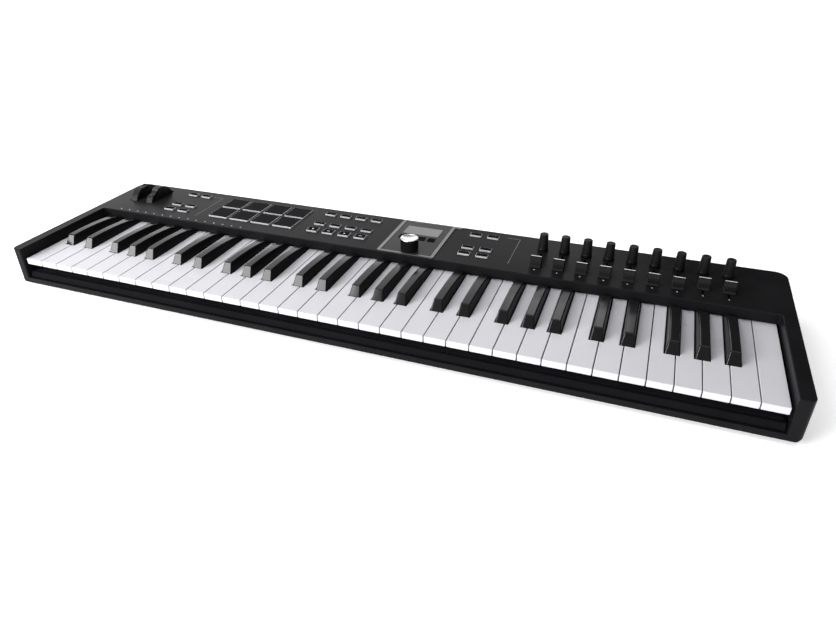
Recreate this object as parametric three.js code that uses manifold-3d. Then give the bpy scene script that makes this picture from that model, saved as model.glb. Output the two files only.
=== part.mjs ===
// A 61-key keyboard synthesizer as separate solids: the case, the keybed, the keys, the control panel
// and every control on it.
// Millimetres. +X is the player's right, +Y the back, +Z up. The origin is the middle of the surface
// that the feet stand on, under the middle of the whole instrument.
import * as THREE from 'three';
import { mergeVertices } from 'three/addons/utils/BufferGeometryUtils.js';
import Module from 'manifold-3d';

const wasm = await Module();
wasm.setup();

// ---- Driving dimensions -------------------------------------------------------------------------

const GAP = 0.3; // clearance between neighbouring pieces
const WALL = 2.5; // moulded shell thickness

// Case
const CASE_HALF_X = 440;
const CASE_HALF_Y = 121.5;
const FOOT_HEIGHT = 4.7;
const CASE_BOTTOM = 4;
const CASE_TOP = 49;
const REAR_CORNER_R = 14;
const FRONT_CORNER_R = 7;
const BOTTOM_EDGE_R = 7;
const CORNER_STEPS = 10; // straight steps in a quarter turn of the case's corners
const PANEL_UNDER = CASE_TOP - WALL;
const PANEL_FRONT = 21.5; // front face of the raised control panel
const WELL_HALF_X = 426; // inner faces of the two cheeks
const LIP_TOP = 10.7; // low front lip under the keys
const LIP_BACK = -118.5;
const PLATE_LOW = 5; // bottom plate
const PLATE_TOP = 7;

// Keys
const KEY_TOP = 36;
const KEY_DEPTH = 7.2; // height of a white key's front lip
const KEY_FRONT = -118;
const KEY_GAP = 1;
const OCTAVE = 165;
const WHITE_PITCH = OCTAVE / 7;
const KEYS_LEFT = -18 * WHITE_PITCH;
const BLACK_FRONT = KEY_FRONT + 49.3; // where white keys narrow and black keys begin
const BLACK_SLOT = 14.9;
const BLACK_BASE = 13;
const BLACK_CREST = 9.6;
const BLACK_TOP = KEY_TOP + 11.4;
const BLACK_SLOPE = 6.5; // run of the sloping front face
// Crest of a black key, from its front end to where it dips under the panel: y, and fall below its top.
const BLACK_CREST_LINE = [[-42, 0], [-24, 0.6], [-10, 1.5], [4, 2.9], [12, 4.3], [17, 6.3], [19.8, 8.8], [20.8, 10.8]];
const PIVOT_Y = 42;
const PIVOT_Z = 31;
const KEY_BOTTOM = KEY_TOP - KEY_DEPTH;
const RAIL_Z = 32.6; // white rail's underside, black tails pass below it
const TAIL_Z = 31.8;
const WHITE_TAIL = PIVOT_Y + 5;
const BLACK_RAIL = [PIVOT_Y + 6.5, PIVOT_Y + 12];

// Each black key: the white boundary it sits on, and how far its middle lies from that boundary.
const BLACKS = [
  { name: 'c_sharp', boundary: 1, offset: -2.9 },
  { name: 'd_sharp', boundary: 2, offset: 2.9 },
  { name: 'f_sharp', boundary: 4, offset: -3.6 },
  { name: 'g_sharp', boundary: 5, offset: 0 },
  { name: 'a_sharp', boundary: 6, offset: 3.2 },
];
const WHITE_NAMES = ['c', 'd', 'e', 'f', 'g', 'a', 'b'];
const OCTAVES = 5;
const SINGLE_KEY_OCTAVE = 3; // this octave's keys are separate pieces, the others are moulded combs

// Panel controls, all on the panel's top
const BOARD_LOW = 41.4;
const BOARD_TOP = 43;
const MAT_LOW = 44.2;
const MAT_TOP = PANEL_UNDER - GAP;
const MAT_BORDER = 3;
const BUTTON_DEPTH = 7.6;
const BUTTON_TOP = CASE_TOP + 1.8;
const PAD = { width: 28.8, depth: 29.4, pitchX: 32.5, pitchY: 32.6, left: -270, front: 44.5, top: 50.6 };
const WINDOW_GAP = 0.4;
const ROW_FRONT = 44.5; // buttons' front row
const ROW_SECOND = 61.6;
const ROW_THIRD = 66.2;
const ROW_BACK = 99;

// Centre panel with screen, context buttons and main encoder
const CENTRE = { left: -15.5, right: 56.3, front: 23.6, back: 118, low: 45.9, top: 49.4, rimTop: 49.9 };
const CENTRE_RIM = 4.6; // width of the rim at the sides
const CENTRE_RIM_FRONT = 3;
const CENTRE_RIM_BACK = 1.4;
const CENTRE_TAB = { right: 65, front: 114.4 };
const SCREEN = { left: -4, right: 44.2, front: 79.5, back: 104.2, top: 49.6 };
const ENCODER = { x: 22.3, y: 36.5, radius: 10.8, low: 50.8, top: 65.4, shaft: 3, bore: 3.5 };
const ENCODER_SHAFT = { low: 44.2, top: 60 };

// Rotary knobs and faders
const STRIPS = 9;
const STRIP_X = 173.2;
const STRIP_PITCH = 25.5;
const KNOB = { y: 88.5, skirt: 6.3, neck: 6, tip: 5, skirtTop: 53.2, top: 70.8, shaft: 3, hole: 3.9 };
const FADER = { front: 45, travel: 30, halfX: 6.5, halfY: 6, crest: 2, top: 61.8, stemX: 0.8, stemY: 4.6 };
const FADER_REST = [0, 0, 0, 0, 0, 0, 0, 8, 8]; // each cap's place along its travel
const SLOT_HALF_X = 1.4;
const SLOT_END_GAP = 0.8;
const STEM_LOW = BOARD_TOP + 0.4;

// Pitch and modulation wheels
const WHEEL = { y: 82.2, z: 37.5, radius: 26.2, width: 10.4, bore: 3.2, axle: 2.6, hub: 9, span: 108 };
const WHEEL_NOTCH = { radius: 9, depth: 3.5 };
const PITCH_WHEEL_X = -405.7;
const MOD_WHEEL_X = -379.8;
// How far each wheel's finger notch lies towards the player from the top, in degrees.
const PITCH_WHEEL_REST = 2;
const MOD_WHEEL_REST = 28;

// Sockets on the back
const SOCKET_BACK = CASE_HALF_Y - WALL - 0.4;
const MAIN_BOARD = { left: -74, right: 60, front: 84, low: 12.4, top: 14 };
const PEDAL = { x: -50, z: 22, radius: 3.3, depth: 24, half: 8 };
const MIDI = { x: 0, z: 24, radius: 6.9, depth: 9, half: 9.2 };
const USB = { x: 40, halfX: 4.6, low: 14, top: 17.4 };

// ---- Materials ----------------------------------------------------------------------------------

function plastic(color, roughness) {
  return new THREE.MeshStandardMaterial({ color, roughness, metalness: 0 });
}

const LOOKS = {
  case: () => plastic(0x2b2b2d, 0.62),
  plate: () => plastic(0x1f1f21, 0.8),
  ivory: () => plastic(0xe9e8ec, 0.28),
  ebony: () => plastic(0x101011, 0.22),
  board: () => plastic(0x1d4a2c, 0.5),
  chassis: () => plastic(0x141415, 0.7),
  centre: () => plastic(0x6d6d70, 0.45),
  screen: () => plastic(0x8d8d90, 0.2),
  rubber: () => plastic(0x1a1a1b, 0.85),
  button: () => plastic(0xc9c9cc, 0.5),
  control: () => plastic(0x161617, 0.45),
  metal: () => new THREE.MeshStandardMaterial({ color: 0xb9bbbe, roughness: 0.3, metalness: 1 }),
};

// ---- Solids -------------------------------------------------------------------------------------

// A closed three.js geometry as a solid for joining and cutting.
function toSolid(geometry) {
  const bare = geometry.clone();
  bare.deleteAttribute('normal');
  bare.deleteAttribute('uv');
  const merged = mergeVertices(bare, 1e-4);
  const mesh = new wasm.Mesh({
    numProp: 3,
    vertProperties: new Float32Array(merged.attributes.position.array),
    triVerts: new Uint32Array(merged.index.array),
  });
  return new wasm.Manifold(mesh);
}

function toGeometry(solid) {
  const mesh = solid.getMesh();
  const geometry = new THREE.BufferGeometry();
  geometry.setAttribute('position', new THREE.BufferAttribute(mesh.vertProperties, 3));
  geometry.setIndex(new THREE.BufferAttribute(mesh.triVerts, 1));
  geometry.computeVertexNormals();
  return geometry;
}

function join(solids) {
  return solids.reduce((whole, solid) => whole.add(solid));
}

function cut(solid, tools) {
  return tools.reduce((rest, tool) => rest.subtract(tool), solid);
}

function block([x0, x1], [y0, y1], [z0, z1]) {
  const geometry = new THREE.BoxGeometry(x1 - x0, y1 - y0, z1 - z0);
  geometry.translate((x0 + x1) / 2, (y0 + y1) / 2, (z0 + z1) / 2);
  return toSolid(geometry);
}

// An outline in the XY plane, raised from z0 to z1.
function raised(shape, z0, z1, segments = 4) {
  const options = { depth: z1 - z0, bevelEnabled: false, curveSegments: segments };
  const geometry = new THREE.ExtrudeGeometry(shape, options);
  geometry.translate(0, 0, z0);
  return toSolid(geometry);
}

// A side outline given as [y, z] points, swept along X from x0 to x1.
function sweptAlongX(points, x0, x1) {
  const shape = new THREE.Shape(points.map(([y, z]) => new THREE.Vector2(y, z)));
  const geometry = new THREE.ExtrudeGeometry(shape, { depth: x1 - x0, bevelEnabled: false });
  geometry.rotateX(Math.PI / 2);
  geometry.rotateZ(Math.PI / 2);
  geometry.translate(x0, 0, 0);
  return geometry;
}

// A profile of [radius, height] points turned round a vertical axis at (x, y).
function turned(profile, x, y, segments = 16) {
  const points = profile.map(([radius, height]) => new THREE.Vector2(radius, height));
  const geometry = new THREE.LatheGeometry(points, segments);
  geometry.rotateX(Math.PI / 2);
  geometry.translate(x, y, 0);
  return toSolid(geometry);
}

function upright(radius, z0, z1, x, y, segments = 12) {
  return turned([[0, z0], [radius, z0], [radius, z1], [0, z1]], x, y, segments);
}

// A round bar or hole along X or Y through the point [x, y, z].
function barAlongX(radius, x0, x1, y, z, segments = 12) {
  const geometry = new THREE.CylinderGeometry(radius, radius, x1 - x0, segments);
  geometry.rotateZ(Math.PI / 2);
  geometry.translate((x0 + x1) / 2, y, z);
  return toSolid(geometry);
}

function barAlongY(radius, y0, y1, x, z, segments = 16) {
  const geometry = new THREE.CylinderGeometry(radius, radius, y1 - y0, segments);
  geometry.translate(x, (y0 + y1) / 2, z);
  return toSolid(geometry);
}

// A rectangle with its own corner radius at the front and at the back.
function roundedOutline(halfX, y0, y1, frontR, backR) {
  const shape = new THREE.Shape();
  shape.moveTo(-halfX + frontR, y0);
  shape.absarc(halfX - frontR, y0 + frontR, frontR, -Math.PI / 2, 0);
  shape.absarc(halfX - backR, y1 - backR, backR, 0, Math.PI / 2);
  shape.absarc(-halfX + backR, y1 - backR, backR, Math.PI / 2, Math.PI);
  shape.absarc(-halfX + frontR, y0 + frontR, frontR, Math.PI, Math.PI * 1.5);
  return shape;
}

// ---- Where the controls are ---------------------------------------------------------------------

function buttonGrid(columns, rows, width) {
  return rows.flatMap(({ front, depth }) =>
    columns.map((x) => ({ x0: x - width / 2, x1: x + width / 2, y0: front, y1: front + depth })));
}

function row(front, depth = BUTTON_DEPTH) {
  return { front, depth };
}

const leftButtons = buttonGrid([-335.2, -313.2], [row(ROW_FRONT), row(ROW_SECOND), row(ROW_BACK)], 15);
const rightButtons = buttonGrid([86.8, 108.9], [row(ROW_FRONT), row(ROW_SECOND), row(ROW_BACK)], 14.6);
const transportButtons = buttonGrid(
  [-114.8, -92.7, -70.6, -48.5], [row(ROW_FRONT, 11.6), row(ROW_THIRD), row(ROW_BACK)], 14.6);
const contextButtons = buttonGrid([0.9, 13.4, 25.9, 38.4], [row(66, 8.4)], 9.4);
const pads = buttonGrid(
  [0, 1, 2, 3].map((column) => PAD.left + PAD.width / 2 + column * PAD.pitchX),
  [row(PAD.front, PAD.depth), row(PAD.front + PAD.pitchY, PAD.depth)], PAD.width);
const stripX = Array.from({ length: STRIPS }, (_, i) => STRIP_X + i * STRIP_PITCH);

function spread({ x0, x1, y0, y1 }, margin) {
  return [[x0 - margin, x1 + margin], [y0 - margin, y1 + margin]];
}

// ---- Case ---------------------------------------------------------------------------------------

function caseEnvelope() {
  const plan = roundedOutline(CASE_HALF_X, -CASE_HALF_Y, CASE_HALF_Y, FRONT_CORNER_R, REAR_CORNER_R);
  const body = raised(plan, CASE_BOTTOM, CASE_TOP, CORNER_STEPS);
  const elevation = roundedOutline(CASE_HALF_X, CASE_BOTTOM, CASE_TOP + BOTTOM_EDGE_R, BOTTOM_EDGE_R, 1);
  const options = { depth: 2 * CASE_HALF_Y + 2, bevelEnabled: false, curveSegments: CORNER_STEPS / 2 };
  const geometry = new THREE.ExtrudeGeometry(elevation, options);
  geometry.rotateX(Math.PI / 2);
  geometry.translate(0, CASE_HALF_Y + 1, 0);
  return body.intersect(toSolid(geometry));
}

function panelWindows() {
  const through = [PANEL_UNDER - 1, CASE_TOP + 1];
  const buttons = [...leftButtons, ...rightButtons, ...transportButtons, ...pads];
  const windows = buttons.map((button) => block(...spread(button, WINDOW_GAP), through));
  const knobHoles = stripX.map((x) => upright(KNOB.hole, ...through, x, KNOB.y));
  const reach = FADER.stemY + SLOT_END_GAP;
  const slots = stripX.map((x) =>
    block([x - SLOT_HALF_X, x + SLOT_HALF_X], [FADER.front - reach, FADER.front + FADER.travel + reach], through));
  const half = WHEEL.width / 2 + 0.7;
  const wheelSlots = [PITCH_WHEEL_X, MOD_WHEEL_X].map((x) =>
    block([x - half, x + half], [WHEEL.y - WHEEL.radius + 1, WHEEL.y + WHEEL.radius - 1], through));
  const centre = block([CENTRE.left - GAP, CENTRE.right + GAP], [CENTRE.front - GAP, CENTRE.back + GAP], through);
  const tab = block([CENTRE.left, CENTRE_TAB.right + GAP], [CENTRE_TAB.front - GAP, CENTRE.back + GAP], through);
  return [...windows, ...knobHoles, ...slots, ...wheelSlots, centre, tab];
}

function upperCase() {
  const inner = CASE_HALF_X - WALL;
  const cheekInner = WELL_HALF_X + WALL;
  const open = PLATE_TOP + GAP;
  const cavity = roundedOutline(inner, PANEL_FRONT + WALL, CASE_HALF_Y - WALL, 0.5, REAR_CORNER_R - WALL);
  const back = [SOCKET_BACK - 1, CASE_HALF_Y + 1];
  const tools = [
    block([-431, 431], [-115.5, 117.3], [CASE_BOTTOM - 1, open]),
    raised(cavity, open - 0.1, PANEL_UNDER),
    block([-inner, -cheekInner], [LIP_BACK, PANEL_FRONT + WALL + 1], [open - 0.1, PANEL_UNDER]),
    block([cheekInner, inner], [LIP_BACK, PANEL_FRONT + WALL + 1], [open - 0.1, PANEL_UNDER]),
    block([-WELL_HALF_X, WELL_HALF_X], [LIP_BACK, PANEL_FRONT], [open - 0.1, CASE_TOP + 1]),
    block([-WELL_HALF_X, WELL_HALF_X], [-CASE_HALF_Y - 1, LIP_BACK + 0.1], [LIP_TOP, CASE_TOP + 1]),
    block([-WELL_HALF_X, WELL_HALF_X], [PANEL_FRONT - 0.1, PANEL_FRONT + WALL + 0.1], [open - 0.1, KEY_TOP + 0.8]),
    barAlongY(MIDI.radius + 1.1, ...back, MIDI.x, MIDI.z),
    barAlongY(PEDAL.radius + 1.3, ...back, PEDAL.x, PEDAL.z),
    block([USB.x - USB.halfX - 0.6, USB.x + USB.halfX + 0.6], back, [USB.low - 0.6, USB.top + 0.6]),
    ...panelWindows(),
  ];
  return cut(caseEnvelope(), tools);
}

function lowerCase() {
  return raised(roundedOutline(430.6, -115.1, 116.9, 2, 2), PLATE_LOW, PLATE_TOP, 2);
}

function foot(x, y) {
  return turned([[0, 0], [8, 0], [9, 1], [9, FOOT_HEIGHT], [0, FOOT_HEIGHT]], x, y);
}

// ---- Keybed -------------------------------------------------------------------------------------

const CHASSIS = { halfX: 424.5, front: KEY_FRONT + 2.6, back: PIVOT_Y + 11, low: 14, top: 16 };
const CONTACTS = { front: -62, back: -18, low: 19.6, top: 21.2 };

function keybedChassis() {
  const across = [-CHASSIS.halfX, CHASSIS.halfX];
  const ribs = [-95, -40, 20].map((y) => block(across, [y, y + 2.5], [PLATE_TOP + GAP, CHASSIS.top]));
  const shelves = [CONTACTS.front + 4, CONTACTS.back - 6].map((y) =>
    block(across, [y, y + 2.5], [CHASSIS.low, CONTACTS.low - GAP]));
  return join([
    block(across, [CHASSIS.front, CHASSIS.back], [CHASSIS.low, CHASSIS.top]),
    block(across, [CHASSIS.front, CHASSIS.front + 2.5], [11, 18.3]),
    block(across, [CHASSIS.front, CHASSIS.front + 18], [CHASSIS.low, 18.3]),
    block(across, [PIVOT_Y - 8, CHASSIS.back], [CHASSIS.low, 27.9]),
    ...ribs,
    ...shelves,
  ]);
}

function contactBoard() {
  return block([-420, 420], [CONTACTS.front, CONTACTS.back], [CONTACTS.low, CONTACTS.top]);
}

function blackMiddle(octaveLeft, black) {
  return octaveLeft + black.boundary * WHITE_PITCH + black.offset;
}

// Plan of one white key: full width in front, narrowed behind by the slots of its black neighbours.
function whiteKey(octaveLeft, index) {
  const left = octaveLeft + index * WHITE_PITCH + KEY_GAP / 2;
  const right = octaveLeft + (index + 1) * WHITE_PITCH - KEY_GAP / 2;
  const slots = BLACKS.map((black) => blackMiddle(octaveLeft, black));
  const slotLeft = slots.find((x) => x - BLACK_SLOT / 2 < left && x + BLACK_SLOT / 2 > left);
  const slotRight = slots.find((x) => x - BLACK_SLOT / 2 < right && x + BLACK_SLOT / 2 > right);
  const stemLeft = slotLeft === undefined ? left : slotLeft + BLACK_SLOT / 2;
  const stemRight = slotRight === undefined ? right : slotRight - BLACK_SLOT / 2;
  return join([
    block([left, right], [KEY_FRONT, BLACK_FRONT], [KEY_BOTTOM, KEY_TOP]),
    block([stemLeft, stemRight], [BLACK_FRONT - 1, WHITE_TAIL], [KEY_BOTTOM, KEY_TOP]),
  ]);
}

// A black key: a low bar that runs back under the panel, and above it the playing part with leaning sides.
function blackKey(middle) {
  const front = BLACK_FRONT + 0.6;
  const bar = sweptAlongX([
    [front, KEY_BOTTOM],
    [BLACK_RAIL[0] + 0.5, KEY_BOTTOM],
    [BLACK_RAIL[0] + 0.5, TAIL_Z],
    [PIVOT_Y - 3, TAIL_Z],
    [PIVOT_Y - 3, KEY_TOP],
    [front, KEY_TOP],
  ], -BLACK_BASE / 2, BLACK_BASE / 2);
  const played = sweptAlongX([
    [front, KEY_TOP],
    [BLACK_CREST_LINE.at(-1)[0], KEY_TOP],
    ...BLACK_CREST_LINE.toReversed().map(([y, fall]) => [y, BLACK_TOP - fall]),
    [front + BLACK_SLOPE, BLACK_TOP],
  ], -BLACK_BASE / 2, BLACK_BASE / 2);
  const place = played.attributes.position;
  for (let i = 0; i < place.count; i += 1) {
    const height = (place.getZ(i) - KEY_TOP) / (BLACK_TOP - KEY_TOP);
    place.setX(i, place.getX(i) * (1 - height * (1 - BLACK_CREST / BLACK_BASE)));
  }
  bar.translate(middle, 0, 0);
  played.translate(middle, 0, 0);
  return join([toSolid(bar), toSolid(played)]);
}

// The single black key has its own short end where a comb has its rail.
function blackTail(x0, x1) {
  return block([x0, x1], BLACK_RAIL, [KEY_BOTTOM, KEY_TOP]);
}

function whiteComb(octaveLeft, count) {
  const keys = Array.from({ length: count }, (_, i) =>
    i < 7 ? whiteKey(octaveLeft, i) : topKey(octaveLeft + OCTAVE));
  const rail = block(
    [octaveLeft + KEY_GAP / 2, octaveLeft + count * WHITE_PITCH - KEY_GAP / 2],
    [PIVOT_Y - 1, WHITE_TAIL], [RAIL_Z, KEY_TOP]);
  return join([...keys, rail]);
}

// The last key of the keyboard has no black neighbour, so it is a full-width bar.
function topKey(left) {
  return block(
    [left + KEY_GAP / 2, left + WHITE_PITCH - KEY_GAP / 2], [KEY_FRONT, WHITE_TAIL], [KEY_BOTTOM, KEY_TOP]);
}

function blackComb(octaveLeft) {
  const middles = BLACKS.map((black) => blackMiddle(octaveLeft, black));
  const rail = blackTail(middles[0] - BLACK_BASE / 2, middles[4] + BLACK_BASE / 2);
  return join([...middles.map(blackKey), rail]);
}

// ---- Controls -----------------------------------------------------------------------------------

// A silicone mat: one flat sheet under the panel with its caps standing up through the windows.
function controlMat(caps, low, sheetTop, top) {
  const x = [Math.min(...caps.map((c) => c.x0)) - MAT_BORDER, Math.max(...caps.map((c) => c.x1)) + MAT_BORDER];
  const y = [Math.min(...caps.map((c) => c.y0)) - MAT_BORDER, Math.max(...caps.map((c) => c.y1)) + MAT_BORDER];
  const bosses = caps.map((c) => block([c.x0, c.x1], [c.y0, c.y1], [low + 0.5, top]));
  return join([block(x, y, [low, sheetTop]), ...bosses]);
}

function knob(x) {
  return turned([
    [0, STEM_LOW],
    [KNOB.shaft, STEM_LOW],
    [KNOB.shaft, CASE_TOP + 0.5],
    [KNOB.skirt, CASE_TOP + 0.5],
    [KNOB.neck, KNOB.skirtTop],
    [KNOB.tip, KNOB.top - 0.8],
    [KNOB.tip - 0.8, KNOB.top],
    [0, KNOB.top],
  ], x, KNOB.y);
}

function fader(x, rest) {
  const y = FADER.front + rest;
  const low = CASE_TOP + 0.5;
  const cap = [
    [y - FADER.halfY, low],
    [y + FADER.halfY, low],
    [y + FADER.crest, FADER.top],
    [y - FADER.crest, FADER.top],
  ];
  return join([
    toSolid(sweptAlongX(cap, x - FADER.halfX, x + FADER.halfX)),
    block([x - FADER.stemX, x + FADER.stemX], [y - FADER.stemY, y + FADER.stemY], [STEM_LOW, low + 1]),
  ]);
}

// A sector of a disc with a finger notch in its rim, round a hub that is bored for the axle.
function wheel(x, leanDegrees) {
  const steps = 20;
  const rim = Array.from({ length: steps + 1 }, (_, i) => {
    const angle = THREE.MathUtils.degToRad(-WHEEL.span + (2 * WHEEL.span * i) / steps + leanDegrees);
    return [WHEEL.y - WHEEL.radius * Math.sin(angle), WHEEL.z + WHEEL.radius * Math.cos(angle)];
  });
  const x0 = x - WHEEL.width / 2;
  const x1 = x + WHEEL.width / 2;
  const lean = THREE.MathUtils.degToRad(leanDegrees);
  const reach = WHEEL.radius + WHEEL_NOTCH.radius - WHEEL_NOTCH.depth;
  const notchY = WHEEL.y - reach * Math.sin(lean);
  const notchZ = WHEEL.z + reach * Math.cos(lean);
  const disc = join([
    toSolid(sweptAlongX(rim, x0, x1)),
    barAlongX(WHEEL.hub, x0, x1, WHEEL.y, WHEEL.z),
  ]);
  return cut(disc, [
    barAlongX(WHEEL_NOTCH.radius, x0 - 1, x1 + 1, notchY, notchZ),
    barAlongX(WHEEL.bore, x0 - 1, x1 + 1, WHEEL.y, WHEEL.z),
  ]);
}

// The bracket under the panel, with the steel axle pressed into its ears.
function wheelBracket() {
  const ear = 2.4;
  const side = WHEEL.width / 2 + 0.6;
  const ears = [PITCH_WHEEL_X, MOD_WHEEL_X].flatMap((x) => [x - side - ear, x + side]);
  const low = PLATE_TOP + GAP;
  return join([
    block([ears[0], ears[3] + ear], [62, 104], [low, low + 2.5]),
    ...ears.map((x) => block([x, x + ear], [WHEEL.y - 6, WHEEL.y + 6], [low, WHEEL.z + 5])),
    barAlongX(WHEEL.axle, ears[0], ears[3] + ear, WHEEL.y, WHEEL.z),
  ]);
}

function centrePanel() {
  const { left, right, front, back, low, top, rimTop } = CENTRE;
  const opening = { x0: SCREEN.left, x1: SCREEN.right, y0: SCREEN.front, y1: SCREEN.back };
  const whole = join([
    block([left, right], [front, back], [low, rimTop]),
    block([right - 1, CENTRE_TAB.right], [CENTRE_TAB.front, back], [low, rimTop]),
  ]);
  const plate = block([left + CENTRE_RIM, right - CENTRE_RIM], [front + CENTRE_RIM_FRONT, back - CENTRE_RIM_BACK], [top, rimTop + 1]);
  return cut(whole, [
    plate,
    block(...spread(opening, GAP), [low - 1, top + 1]),
    ...contextButtons.map((button) => block(...spread(button, WINDOW_GAP), [low - 1, top + 1])),
    upright(ENCODER.bore + 0.5, low - 1, top + 1, ENCODER.x, ENCODER.y),
  ]);
}

function screen() {
  const { left, right, front, back, top } = SCREEN;
  return join([
    block([left, right], [front, back], [43.4, top]),
    block([left - 3, right + 3], [front - 1.5, back + 3], [43.4, CENTRE.low - GAP]),
  ]);
}

function encoderShaft() {
  return upright(ENCODER.shaft, ENCODER_SHAFT.low, ENCODER_SHAFT.top, ENCODER.x, ENCODER.y);
}

function encoderKnob() {
  return turned([
    [0, ENCODER_SHAFT.top + 0.4],
    [ENCODER.bore, ENCODER_SHAFT.top + 0.4],
    [ENCODER.bore, ENCODER.low],
    [ENCODER.radius, ENCODER.low],
    [ENCODER.radius, ENCODER.top - 1],
    [ENCODER.radius - 1, ENCODER.top],
    [0, ENCODER.top],
  ], ENCODER.x, ENCODER.y, 24);
}

// ---- Boards -------------------------------------------------------------------------------------

function panelBoard() {
  return block([-350, 430], [26, 113], [BOARD_LOW, BOARD_TOP]);
}

function connectorBoard() {
  const { left, right, front, low, top } = MAIN_BOARD;
  const back = SOCKET_BACK;
  const bodies = join([
    block([left, right], [front, back], [low, top]),
    block([MIDI.x - MIDI.half, MIDI.x + MIDI.half], [back - 13, back], [low, MIDI.z + MIDI.half]),
    block([PEDAL.x - PEDAL.half, PEDAL.x + PEDAL.half], [back - 30, back], [low, PEDAL.z + PEDAL.half]),
    block([USB.x - USB.halfX, USB.x + USB.halfX], [back - 8, back], [low, USB.top]),
  ]);
  return cut(bodies, [
    barAlongY(MIDI.radius, back - MIDI.depth, back + 1, MIDI.x, MIDI.z),
    barAlongY(PEDAL.radius, back - PEDAL.depth, back + 1, PEDAL.x, PEDAL.z),
    block([USB.x - 4, USB.x + 4], [back - 6, back + 1], [USB.low + 0.6, USB.top - 0.6]),
  ]);
}

// ---- Assembly -----------------------------------------------------------------------------------

const group = new THREE.Group();

function addPiece(name, solid, look) {
  const mesh = new THREE.Mesh(toGeometry(solid), LOOKS[look]());
  mesh.name = name;
  group.add(mesh);
}

addPiece('upper_case', upperCase(), 'case');
addPiece('lower_case', lowerCase(), 'plate');
for (const [side, x] of [['left', -400], ['right', 400]]) {
  addPiece(`foot_front_${side}`, foot(x, -98), 'rubber');
  addPiece(`foot_rear_${side}`, foot(x, 98), 'rubber');
}
addPiece('keybed_chassis', keybedChassis(), 'chassis');
addPiece('key_contact_board', contactBoard(), 'board');
addPiece('panel_board', panelBoard(), 'board');
addPiece('connector_board', connectorBoard(), 'board');
addPiece('centre_panel', centrePanel(), 'centre');
addPiece('screen', screen(), 'screen');
addPiece('wheel_bracket', wheelBracket(), 'chassis');
addPiece('pitch_wheel', wheel(PITCH_WHEEL_X, PITCH_WHEEL_REST), 'control');
addPiece('mod_wheel', wheel(MOD_WHEEL_X, MOD_WHEEL_REST), 'control');

for (let octave = 1; octave <= OCTAVES; octave += 1) {
  const octaveLeft = KEYS_LEFT + (octave - 1) * OCTAVE;
  if (octave === SINGLE_KEY_OCTAVE) {
    WHITE_NAMES.forEach((name, i) => addPiece(`key_${name}`, whiteKey(octaveLeft, i), 'ivory'));
    BLACKS.forEach((black) => {
      const middle = blackMiddle(octaveLeft, black);
      const tail = blackTail(middle - BLACK_BASE / 2, middle + BLACK_BASE / 2);
      addPiece(`key_${black.name}`, join([blackKey(middle), tail]), 'ebony');
    });
  } else {
    const whites = octave === OCTAVES ? 8 : 7;
    addPiece(`white_keys_octave_${octave}`, whiteComb(octaveLeft, whites), 'ivory');
    addPiece(`black_keys_octave_${octave}`, blackComb(octaveLeft), 'ebony');
  }
}

addPiece('pad_mat', controlMat(pads, MAT_LOW, MAT_TOP, PAD.top), 'rubber');
addPiece('left_buttons', controlMat(leftButtons, MAT_LOW, MAT_TOP, BUTTON_TOP), 'button');
addPiece('transport_buttons', controlMat(transportButtons, MAT_LOW, MAT_TOP, BUTTON_TOP), 'button');
addPiece('right_buttons', controlMat(rightButtons, MAT_LOW, MAT_TOP, BUTTON_TOP), 'button');
addPiece('context_buttons', controlMat(contextButtons, 43.9, CENTRE.low - GAP, 50.4), 'control');
addPiece('encoder_shaft', encoderShaft(), 'metal');
addPiece('encoder_knob', encoderKnob(), 'control');
stripX.forEach((x, i) => {
  addPiece(`knob_${i + 1}`, knob(x), 'control');
  addPiece(`fader_${i + 1}`, fader(x, FADER_REST[i]), 'control');
});

export default group;
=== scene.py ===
import math

import bmesh
import bpy
from mathutils import Matrix, Vector


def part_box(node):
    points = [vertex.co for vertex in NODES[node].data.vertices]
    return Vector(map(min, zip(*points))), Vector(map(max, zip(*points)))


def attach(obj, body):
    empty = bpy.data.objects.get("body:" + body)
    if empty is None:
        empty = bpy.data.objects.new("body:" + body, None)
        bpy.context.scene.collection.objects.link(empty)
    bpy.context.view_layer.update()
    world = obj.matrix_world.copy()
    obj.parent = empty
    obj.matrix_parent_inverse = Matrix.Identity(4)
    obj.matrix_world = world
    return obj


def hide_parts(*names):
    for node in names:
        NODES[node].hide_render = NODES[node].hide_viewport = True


# A 61-key keyboard synthesizer: the detailed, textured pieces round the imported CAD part.
# Lengths below are in millimetres unless a name says otherwise, and go to Blender times MM.

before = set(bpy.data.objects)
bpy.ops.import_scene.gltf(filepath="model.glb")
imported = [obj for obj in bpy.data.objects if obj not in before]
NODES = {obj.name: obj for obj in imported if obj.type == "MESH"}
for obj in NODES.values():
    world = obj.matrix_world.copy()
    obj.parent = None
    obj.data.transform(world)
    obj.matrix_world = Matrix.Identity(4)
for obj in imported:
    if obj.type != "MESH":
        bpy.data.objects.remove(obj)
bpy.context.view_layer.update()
MM = 0.001


def box_mm(node):
    low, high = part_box(node)
    return low / MM, high / MM


def middle_of(low, high):
    """The middle of a box seen from above."""
    return (low.x + high.x) / 2, (low.y + high.y) / 2


KNOBS = [f"knob_{i}" for i in range(1, 10)]
FADERS = [f"fader_{i}" for i in range(1, 10)]
PANEL_TOP = box_mm("upper_case")[1].z
KEY_TOP = box_mm("key_c")[1].z


# ---- Camera -----------------------------------------------------------------------------------------------

CAMERA_PLACE = Vector((277.6, -637.0, 395.9)) * MM
CAMERA_YAW, CAMERA_PITCH, CAMERA_ROLL = 20.832, 30.999, -0.605  # degrees


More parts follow.
